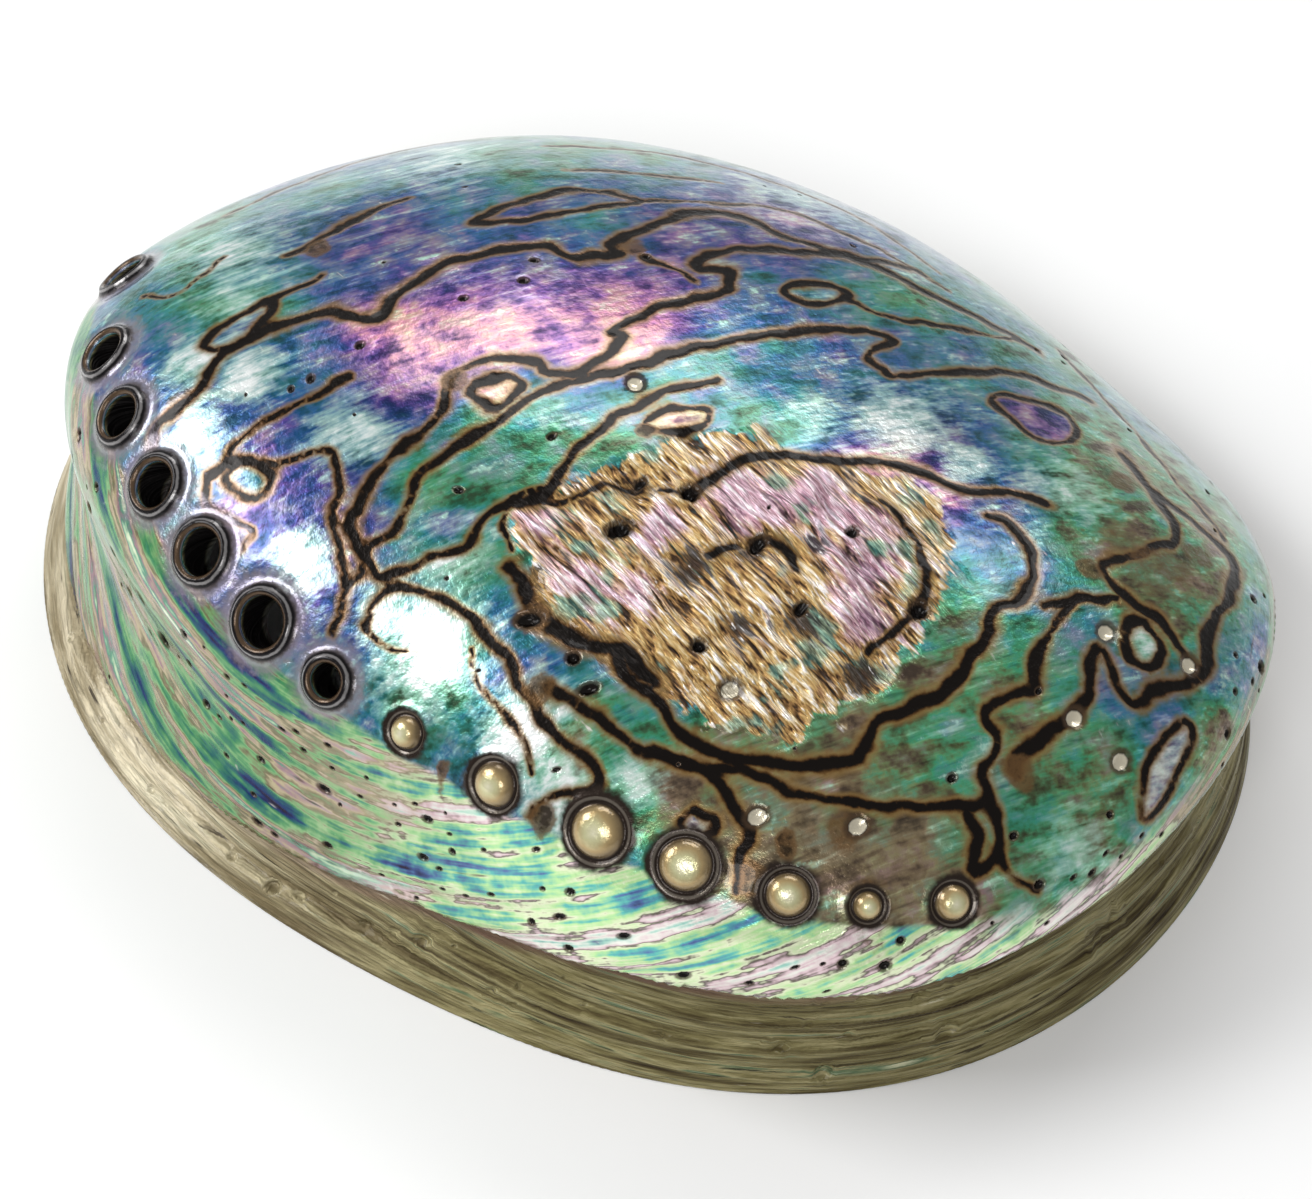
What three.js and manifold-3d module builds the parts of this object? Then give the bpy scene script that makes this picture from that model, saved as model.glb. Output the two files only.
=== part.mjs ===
// A polished abalone shell, resting dome up on its rim.
// Frame: millimetres, +Z up, +X towards the spire end, -Y towards the row of pores.
// The whole shell grew as one piece, so it is one mesh: a thin wall over an open hollow.
import * as THREE from "three";
import { mergeVertices } from "three/addons/utils/BufferGeometryUtils.js";
import Module from "manifold-3d";

// ---- Driving dimensions ------------------------------------------------------------------------

// The outline is held by stations every 30 degrees, anticlockwise from the spire end.
const RIM_RADIUS = [76.5, 69.5, 60, 63, 65.5, 70.5, 73, 67.5, 61, 60, 68, 76];
// The polished dome ends in an edge, which stands this far inside the rim and this far above it.
const EDGE_INSET = [-0.5, -2.5, -2.5, -1.5, -0.5, -0.5, 1, 4, 4.5, 5, 1.5, 0];
const EDGE_HEIGHT = [20, 11.5, 5, 3.5, 1.5, 1.5, 2, 3, 5, 9.5, 16.5, 18.5];
// The dome's curve from crown to edge: under 1 is squarer-shouldered, over 1 is more sloping.
const DOME_POWER = [1.1, 1.45, 1.05, 1.15, 0.9, 0.85, 0.5, 0.5, 0.75, 0.8, 0.9, 1];
const SPREAD_POWER = 0.95;
const CROWN = { x: -10.5, y: -10, height: 43.5 };

// Below the pores the flank is hollow on the front left, up to this share of the dome's rise.
const HOLLOW = { depth: 3.4, angle: -145, angleSpread: 55, topShare: 0.65 };
// Where the edge stands high, a channel runs under it before the growth layers flare to the rim.
const CHANNEL_DEPTH = 3;
const CHANNEL_FULL_HEIGHT = 20;

// The wall, the thin outer lip, and the flat inner shelf along the pore side.
const ROOF_THICKNESS = 3;
const SIDE_THICKNESS = 3.2;
const SIDE_EXTRA = 4.5;
const INNER_EDGE_RATIO = 0.6;
const LIP_WIDTH = 3.4;
const SHELF = { width: 8, angle: -60, angleSpread: 75 };

// The row of pores, as directions and drops from the crown in degrees, youngest at the front.
const PORE_ANGLES = [178, 192, 202, 213, 225, 239, 252, 266, 280, 293, 302, 311, 317.5, 324.5];
const PORE_ROW = [[170, 63], [192, 59], [213, 53.5], [232, 52], [252, 55], [280, 59.5], [302, 62], [330, 74]];
const OPEN_RADII = [2.6, 2.6, 2.6, 2.7, 2.8, 3, 2];
const COLLAR_WIDTH = 1.6;
const COLLAR_HEIGHT = 0.7;
const COLLAR_DEPTH = 1.2;
const CUT_ABOVE = 3;
const CUT_BELOW = 9;
const BEAD_RADIUS = 2.4;
const BEAD_SHRINK = 0.08;
const BEAD_FLATNESS = 0.55;

const COLOUR = "#5f7f78";
const ROUGHNESS = 0.3;
const METALNESS = 0.4;

// ---- How finely the surfaces are faceted ---------------------------------------------------------

const AROUND = 72;
const DOME_ROWS = 13;
const BAND_ROWS = 5;
const INNER_ROWS = 9;
const INNER_BAND_ROWS = 2;
const RING_SIDES = 15;

// ---- Shape functions ----------------------------------------------------------------------------

const radians = THREE.MathUtils.degToRad;
const RIGHT_ANGLE = Math.PI / 2;
const SMALL_ANGLE = 1e-9;
const SLOPE_STEP = 0.01;

// A smooth closed curve through equally spaced stations.
function around(stations, angle) {
  const count = stations.length;
  let value = 0;
  for (let index = 0; index < count; index += 1) {
    const away = (angle - (index * 2 * Math.PI) / count) / 2;
    const half = Math.abs(Math.sin(away)) < SMALL_ANGLE ? SMALL_ANGLE : away;
    value += (stations[index] * Math.sin(count * half)) / (count * Math.tan(half));
  }
  return value;
}

// A bell of height 1 around a direction, both in degrees, for an angle in radians.
function bell(angle, direction, spread) {
  const away = angle - radians(direction) + Math.PI;
  const wrapped = THREE.MathUtils.euclideanModulo(away, 2 * Math.PI) - Math.PI;
  return Math.exp(-((wrapped / radians(spread)) ** 2));
}

// A point of a dome that falls from its crown to an edge. The drop runs from 0 to a right angle.
function domePoint(angle, drop, edgeRadius, edgeHeight, crownHeight) {
  const reach = Math.sin(drop) ** SPREAD_POWER;
  const rise = Math.max(Math.cos(drop), 0) ** around(DOME_POWER, angle);
  const hollowShare = Math.sin(Math.PI * Math.min(rise / HOLLOW.topShare, 1)) ** 2;
  const hollow = HOLLOW.depth * bell(angle, HOLLOW.angle, HOLLOW.angleSpread) * hollowShare;
  return new THREE.Vector3(
    CROWN.x + (edgeRadius * Math.cos(angle) - CROWN.x) * reach - hollow * Math.cos(angle),
    CROWN.y + (edgeRadius * Math.sin(angle) - CROWN.y) * reach - hollow * Math.sin(angle),
    edgeHeight + (crownHeight - edgeHeight) * rise,
  );
}

function outerEdgeRadius(angle) {
  return around(RIM_RADIUS, angle) - around(EDGE_INSET, angle);
}

function outerPoint(angle, drop) {
  return domePoint(angle, drop, outerEdgeRadius(angle), around(EDGE_HEIGHT, angle), CROWN.height);
}

// The growth layers between the polished edge (share 0) and the rim (share 1).
function bandPoint(angle, share) {
  const height = around(EDGE_HEIGHT, angle);
  const channel = CHANNEL_DEPTH * (height / CHANNEL_FULL_HEIGHT) * Math.sin(Math.PI * Math.sqrt(share));
  const radius = outerEdgeRadius(angle) + around(EDGE_INSET, angle) * share - channel;
  return new THREE.Vector3(radius * Math.cos(angle), radius * Math.sin(angle), height * (1 - share));
}

function innerEdgeRadius(angle) {
  const highShare = around(EDGE_HEIGHT, angle) / CHANNEL_FULL_HEIGHT;
  return outerEdgeRadius(angle) - SIDE_THICKNESS - SIDE_EXTRA * highShare;
}

function innerEdgeHeight(angle) {
  return around(EDGE_HEIGHT, angle) * INNER_EDGE_RATIO;
}

function innerPoint(angle, drop) {
  const crownHeight = CROWN.height - ROOF_THICKNESS;
  return domePoint(angle, drop, innerEdgeRadius(angle), innerEdgeHeight(angle), crownHeight);
}

// The inside of the lip, from the inner edge (share 0) down to the foot of the shelf (share 1).
function innerLipPoint(angle, share) {
  const lip = LIP_WIDTH + SHELF.width * bell(angle, SHELF.angle, SHELF.angleSpread);
  const foot = around(RIM_RADIUS, angle) - lip;
  const radius = THREE.MathUtils.lerp(innerEdgeRadius(angle), foot, share);
  const height = innerEdgeHeight(angle) * (1 - share);
  return new THREE.Vector3(radius * Math.cos(angle), radius * Math.sin(angle), height);
}

// ---- The shell's wall ---------------------------------------------------------------------------

// The rings of one section, from just below the outer crown, round the rim, to the inner crown.
function sectionAt(angle) {
  const section = [];
  for (let row = 1; row <= DOME_ROWS; row += 1) {
    section.push(outerPoint(angle, (RIGHT_ANGLE * row) / DOME_ROWS));
  }
  for (let row = 1; row <= BAND_ROWS; row += 1) {
    section.push(bandPoint(angle, row / BAND_ROWS));
  }
  for (let row = INNER_BAND_ROWS; row >= 1; row -= 1) {
    section.push(innerLipPoint(angle, row / INNER_BAND_ROWS));
  }
  for (let row = INNER_ROWS; row >= 1; row -= 1) {
    section.push(innerPoint(angle, (RIGHT_ANGLE * row) / INNER_ROWS));
  }
  return section;
}

function wallGeometry() {
  const sections = [];
  for (let step = 0; step < AROUND; step += 1) {
    sections.push(sectionAt((2 * Math.PI * step) / AROUND));
  }
  const rows = sections[0].length;
  const vertices = sections.flat().flatMap((point) => point.toArray());
  const outerCrown = vertices.length / 3;
  const innerCrown = outerCrown + 1;
  vertices.push(...outerPoint(0, 0).toArray(), ...innerPoint(0, 0).toArray());

  const indices = [];
  for (let step = 0; step < AROUND; step += 1) {
    const here = step * rows;
    const next = ((step + 1) % AROUND) * rows;
    indices.push(outerCrown, here, next);
    for (let row = 0; row < rows - 1; row += 1) {
      indices.push(here + row, here + row + 1, next + row + 1);
      indices.push(here + row, next + row + 1, next + row);
    }
    indices.push(here + rows - 1, innerCrown, next + rows - 1);
  }
  const geometry = new THREE.BufferGeometry();
  geometry.setAttribute("position", new THREE.Float32BufferAttribute(vertices, 3));
  geometry.setIndex(indices);
  return geometry;
}

// ---- Pores --------------------------------------------------------------------------------------

// The drop of the pore row at a direction, from a smooth curve through its points.
function poreDrop(direction) {
  const points = PORE_ROW.map(([angle, drop]) => new THREE.Vector3(angle, drop, 0));
  const samples = new THREE.CatmullRomCurve3(points).getPoints(200);
  const after = samples.findIndex((sample) => sample.x >= direction);
  return samples[after].y;
}

// Turns a shape made along +Y so that it stands on the dome, with +Y along the dome's normal.
function standOnDome(geometry, direction) {
  const angle = radians(direction);
  const drop = radians(poreDrop(direction));
  const place = outerPoint(angle, drop);
  const alongAngle = outerPoint(angle + SLOPE_STEP, drop).sub(place);
  const alongDrop = outerPoint(angle, drop + SLOPE_STEP).sub(place);
  const normal = new THREE.Vector3().crossVectors(alongDrop, alongAngle).normalize();
  const turn = new THREE.Quaternion().setFromUnitVectors(new THREE.Vector3(0, 1, 0), normal);
  geometry.applyQuaternion(turn);
  geometry.translate(place.x, place.y, place.z);
  return geometry;
}

function collarGeometry(radius) {
  const outer = radius + COLLAR_WIDTH;
  const crest = radius + COLLAR_WIDTH / 2;
  const profile = [
    [radius - COLLAR_WIDTH / 2, -COLLAR_DEPTH],
    [outer, -COLLAR_DEPTH],
    [outer, 0],
    [crest, COLLAR_HEIGHT],
    [radius - COLLAR_WIDTH / 2, COLLAR_HEIGHT],
    [radius - COLLAR_WIDTH / 2, -COLLAR_DEPTH],
  ];
  return new THREE.LatheGeometry(profile.map(([x, y]) => new THREE.Vector2(x, y)), RING_SIDES);
}

function holeGeometry(radius) {
  const geometry = new THREE.CylinderGeometry(radius, radius, CUT_ABOVE + CUT_BELOW, RING_SIDES);
  geometry.translate(0, (CUT_ABOVE - CUT_BELOW) / 2, 0);
  return geometry;
}

function beadGeometry(age) {
  const geometry = new THREE.SphereGeometry(BEAD_RADIUS - BEAD_SHRINK * age, RING_SIDES, 6);
  geometry.scale(1, BEAD_FLATNESS, 1);
  return geometry;
}

// ---- Joining and cutting --------------------------------------------------------------------------

const wasm = await Module();
wasm.setup();

function toSolid(geometry) {
  const bare = geometry.clone();
  bare.deleteAttribute("normal");
  bare.deleteAttribute("uv");
  const merged = mergeVertices(bare, 1e-4);
  const mesh = new wasm.Mesh({
    numProp: 3,
    vertProperties: merged.attributes.position.array,
    triVerts: Uint32Array.from(merged.index.array),
  });
  return new wasm.Manifold(mesh);
}

function toGeometry(solid) {
  const mesh = solid.getMesh();
  const geometry = new THREE.BufferGeometry();
  geometry.setAttribute("position", new THREE.BufferAttribute(mesh.vertProperties, 3));
  geometry.setIndex(new THREE.BufferAttribute(mesh.triVerts, 1));
  return geometry;
}

function shellSolid() {
  let solid = toSolid(wallGeometry());
  PORE_ANGLES.forEach((direction, index) => {
    const open = index < OPEN_RADII.length;
    const raised = open ? collarGeometry(OPEN_RADII[index]) : beadGeometry(index - OPEN_RADII.length);
    solid = solid.add(toSolid(standOnDome(raised, direction)));
    if (open) {
      solid = solid.subtract(toSolid(standOnDome(holeGeometry(OPEN_RADII[index]), direction)));
    }
  });
  return solid;
}

// Moves the geometry so that the middle of its footprint is at the origin and its rim is at Z = 0.
function centreOnFootprint(geometry) {
  geometry.computeBoundingBox();
  const { min, max } = geometry.boundingBox;
  geometry.translate(-(min.x + max.x) / 2, -(min.y + max.y) / 2, -min.z);
  return geometry;
}

function buildShell() {
  const geometry = centreOnFootprint(toGeometry(shellSolid()));
  geometry.computeVertexNormals();
  const material = new THREE.MeshStandardMaterial({
    color: COLOUR,
    roughness: ROUGHNESS,
    metalness: METALNESS,
    flatShading: true,
  });
  const shell = new THREE.Mesh(geometry, material);
  shell.name = "shell";
  return shell;
}

const abalone = new THREE.Group();
abalone.add(buildShell());

export default abalone;
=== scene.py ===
"""A polished abalone shell at rest on a pale floor. Shapes are worked out in millimetres."""

import math

import bpy
import numpy as np
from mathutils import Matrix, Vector, geometry, kdtree, noise


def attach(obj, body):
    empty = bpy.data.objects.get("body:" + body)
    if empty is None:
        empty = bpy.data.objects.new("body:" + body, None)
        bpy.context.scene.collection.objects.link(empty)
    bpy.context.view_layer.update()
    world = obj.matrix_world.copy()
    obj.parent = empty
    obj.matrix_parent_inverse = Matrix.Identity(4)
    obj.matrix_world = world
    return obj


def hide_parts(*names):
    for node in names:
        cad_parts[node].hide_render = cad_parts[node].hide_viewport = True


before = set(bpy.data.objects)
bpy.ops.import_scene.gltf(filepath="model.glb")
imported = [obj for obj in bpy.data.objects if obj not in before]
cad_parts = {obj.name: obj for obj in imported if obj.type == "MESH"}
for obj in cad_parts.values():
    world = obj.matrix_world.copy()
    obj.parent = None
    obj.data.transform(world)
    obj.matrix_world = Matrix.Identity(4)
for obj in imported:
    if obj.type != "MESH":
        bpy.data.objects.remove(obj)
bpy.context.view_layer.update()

MM = 0.001
TINY = 1e-9
SLOPE_STEP = 0.05
random = np.random.RandomState(7)

# ---- The shell's form, as in the CAD model ----------

# Stations every 30 degrees, anticlockwise from the spire end (+X).
RIM_RADIUS = np.array([76.5, 69.5, 60, 63, 65.5, 70.5, 73, 67.5, 61, 60, 68, 76])
EDGE_INSET = np.array([-0.5, -2.5, -2.5, -1.5, -0.5, -0.5, 1, 4, 4.5, 5, 1.5, 0])
EDGE_HEIGHT = np.array([20, 11.5, 5, 3.5, 1.5, 1.5, 2, 3, 5, 9.5, 16.5, 18.5])
DOME_POWER = np.array([1.1, 1.45, 1.05, 1.15, 0.9, 0.85, 0.5, 0.5, 0.75, 0.8, 0.9, 1])
SPREAD_POWER = 0.95
CROWN_X, CROWN_Y, CROWN_HEIGHT = -10.5, -10.0, 43.5
HOLLOW_DEPTH, HOLLOW_ANGLE, HOLLOW_SPREAD, HOLLOW_TOP = 3.4, -145, 55, 0.65
CHANNEL_DEPTH, CHANNEL_FULL_HEIGHT = 3.0, 20.0
ROOF_THICKNESS, SIDE_THICKNESS, SIDE_EXTRA, INNER_EDGE_RATIO = 3.0, 3.2, 4.5, 0.6
LIP_WIDTH, SHELF_WIDTH, SHELF_ANGLE, SHELF_SPREAD = 3.4, 8.0, -60, 75

# From the crown's own axes to the middle of the footprint.
ROW_SHIFT = np.array([-1.95, -1.94, 0])

PORE_ANGLES = [178, 192, 202, 213, 225, 239, 252, 266, 280, 293, 302, 311, 317.5, 324.5]
PORE_ROW = [(170, 63), (192, 59), (213, 53.5), (232, 52), (252, 55), (280, 59.5), (302, 62), (330, 74)]
OPEN_RADII = [2.6, 2.6, 2.6, 2.7, 2.8, 3.0, 2.0]


def around(stations, angle):
    """A smooth closed curve through equally spaced stations."""
    count = len(stations)
    half = (np.asarray(angle)[..., None] - np.arange(count) * 2 * np.pi / count) / 2
    half = np.where(np.abs(np.sin(half)) < TINY, TINY, half)
    return (stations * np.sin(count * half) / (count * np.tan(half))).sum(-1)


def bell(angle, direction, spread):
    """A bell of height 1 around a direction in degrees, for angles in radians."""
    away = (angle - np.radians(direction) + np.pi) % (2 * np.pi) - np.pi
    return np.exp(-((away / np.radians(spread)) ** 2))


def dome(angle, along, edge_radius, edge_height, crown_height):
    """A point of a dome. along runs from 0 at the crown to 1 at its edge."""
    cosine = (1 - np.clip(along, 0, 1) ** 2) ** 2
    reach = np.sqrt(1 - cosine**2) ** SPREAD_POWER
    rise = cosine ** around(DOME_POWER, angle)
    hollow = HOLLOW_DEPTH * bell(angle, HOLLOW_ANGLE, HOLLOW_SPREAD)
    hollow = hollow * np.sin(np.pi * np.minimum(rise / HOLLOW_TOP, 1)) ** 2
    x = CROWN_X + (edge_radius * np.cos(angle) - CROWN_X) * reach - hollow * np.cos(angle)
    y = CROWN_Y + (edge_radius * np.sin(angle) - CROWN_Y) * reach - hollow * np.sin(angle)
    return np.stack([x, y, edge_height + (crown_height - edge_height) * rise], -1)


def ring_point(angle, radius, height):
    return np.stack([radius * np.cos(angle), radius * np.sin(angle), height], -1)


def outer_surface(angle, along):
    """The outside: 0 is the crown, 1 the polished edge and 2 the rim."""
    height = around(EDGE_HEIGHT, angle)
    inset = around(EDGE_INSET, angle)
    edge = around(RIM_RADIUS, angle) - inset
    share = np.clip(along - 1, 0, 1)
    channel = CHANNEL_DEPTH * height / CHANNEL_FULL_HEIGHT * np.sin(np.pi * np.sqrt(share))
    band = ring_point(angle, edge + inset * share - channel, height * (1 - share))
    top = dome(angle, along, edge, height, CROWN_HEIGHT)
    return np.where((along > 1)[..., None], band, top) + ROW_SHIFT


def inner_surface(angle, along):
    """The inside: 0 is under the crown, 1 the inner edge and 2 the foot of the shelf."""
    height = around(EDGE_HEIGHT, angle)
    edge = around(RIM_RADIUS, angle) - around(EDGE_INSET, angle)
    edge = edge - SIDE_THICKNESS - SIDE_EXTRA * height / CHANNEL_FULL_HEIGHT
    height = height * INNER_EDGE_RATIO
    foot = around(RIM_RADIUS, angle) - LIP_WIDTH - SHELF_WIDTH * bell(angle, SHELF_ANGLE, SHELF_SPREAD)
    share = np.clip(along - 1, 0, 1)
    lip = ring_point(angle, edge + (foot - edge) * share, height * (1 - share))
    top = dome(angle, along, edge, height, CROWN_HEIGHT - ROOF_THICKNESS)
    return np.where((along > 1)[..., None], lip, top) + ROW_SHIFT


def pore_along(direction):
    """Where a pore lies between crown and edge, from a smooth curve through the row's points."""
    angles, drops = np.array(PORE_ROW, float).T
    step = int(np.clip(np.searchsorted(angles, direction) - 1, 0, len(angles) - 2))
    before, after = max(step - 1, 0), min(step + 2, len(angles) - 1)
    share = (direction - angles[step]) / (angles[step + 1] - angles[step])
    start = (drops[step + 1] - drops[before]) / (angles[step + 1] - angles[before])
    end = (drops[after] - drops[step]) / (angles[after] - angles[step])
    span = angles[step + 1] - angles[step]
    drop = (drops[step] * (1 + 2 * share) * (1 - share) ** 2 + start * span * share * (1 - share) ** 2
            + drops[step + 1] * share**2 * (3 - 2 * share) - end * span * share**2 * (1 - share))
    return math.sqrt(1 - math.sqrt(math.cos(math.radians(drop))))


# ---- Flat maps of the two surfaces ----------


class Surface:
    """A surface unrolled to a disc, where the distance from the middle is the length of its section."""

    SECTIONS = 361
    SAMPLES = 260

    def __init__(self, point):
        self.point = point
        self.angles = np.linspace(0, 2 * np.pi, self.SECTIONS)
        self.along = np.linspace(0, 2, self.SAMPLES)
        grid = point(*np.meshgrid(self.angles, self.along, indexing="ij"))
        steps = np.linalg.norm(np.diff(grid, axis=1), axis=2)
        self.length = np.concatenate([np.zeros((self.SECTIONS, 1)), np.cumsum(steps, 1)], 1)
        self.reach = self.length[:, -1]

    def to_disc(self, angle, along):
        """The place on the disc of a point given by its angle and how far along its section it is."""
        angle = np.asarray(angle) % (2 * np.pi)
        spot = angle / (2 * np.pi) * (self.SECTIONS - 1)
        row = np.minimum(spot.astype(int), self.SECTIONS - 2)
        share = spot - row
        column = np.asarray(along) / 2 * (self.SAMPLES - 1)
        left = np.minimum(column.astype(int), self.SAMPLES - 2)
        mix = column - left
        low = self.length[row, left] * (1 - mix) + self.length[row, left + 1] * mix
        high = self.length[row + 1, left] * (1 - mix) + self.length[row + 1, left + 1] * mix
        length = low * (1 - share) + high * share
        return np.stack([length * np.cos(angle), length * np.sin(angle)], -1)

    def from_disc(self, flat):
        """The angle and the place along the section of points on the disc."""
        angle = np.arctan2(flat[:, 1], flat[:, 0]) % (2 * np.pi)
        length = np.hypot(flat[:, 0], flat[:, 1])
        spot = angle / (2 * np.pi) * (self.SECTIONS - 1)
        row = np.minimum(spot.astype(int), self.SECTIONS - 2)
        along = np.zeros(len(flat))
        for index in range(self.SECTIONS - 1):
            chosen = np.nonzero(row == index)[0]
            share = spot[chosen] - index
            low = np.interp(length[chosen], self.length[index], self.along)
            high = np.interp(length[chosen], self.length[index + 1], self.along)
            along[chosen] = low * (1 - share) + high * share
        return angle, along

    def lift(self, flat):
        return self.point(*self.from_disc(np.atleast_2d(flat)))

    def inside(self, flat, margin=0.0):
        angle = np.arctan2(flat[:, 1], flat[:, 0]) % (2 * np.pi)
        return np.hypot(flat[:, 0], flat[:, 1]) < np.interp(angle, self.angles, self.reach) - margin

    def frame_at(self, flat):
        """How the surface moves along each axis of the disc, and unit vectors round and down the shell."""
        steps = [(0, 0), (SLOPE_STEP, 0), (0, SLOPE_STEP)]
        here, right, ahead = self.lift(flat + np.array(steps))
        slopes = np.stack([right - here, ahead - here], 1) / SLOPE_STEP
        first = slopes @ np.array([-flat[1], flat[0]])
        first /= np.linalg.norm(first)
        normal = np.cross(slopes[:, 0], slopes[:, 1])
        normal /= np.linalg.norm(normal)
        return slopes, first, np.cross(normal, first)

    def ring(self, flat, radius, count, turn=0.0, stretch=1.0):
        """Points on the disc that lift to a ring on the surface, longer round the shell by a stretch."""
        slopes, first, second = self.frame_at(flat)
        angles = np.arange(count) * 2 * np.pi / count + turn
        long_way = stretch * np.cos(angles)[:, None] * first
        ring_points = radius * (long_way + np.sin(angles)[:, None] * second)
        return flat + np.linalg.lstsq(slopes, ring_points.T, rcond=None)[0].T


def lattice(surface, spacing, margin):
    """Points in a triangular lattice over the disc."""
    reach = surface.reach.max()
    rows = np.arange(-reach, reach, spacing * math.sqrt(3) / 2)
    columns = np.arange(-reach, reach, spacing)
    grid_x, grid_y = np.meshgrid(columns, rows)
    grid_x = grid_x + (np.arange(len(rows)) % 2)[:, None] * spacing / 2
    points = np.stack([grid_x.ravel(), grid_y.ravel()], -1)
    return points[surface.inside(points, margin)]


# ---- Where the marks lie, in plan, measured from the middle of the footprint ----------

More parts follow.
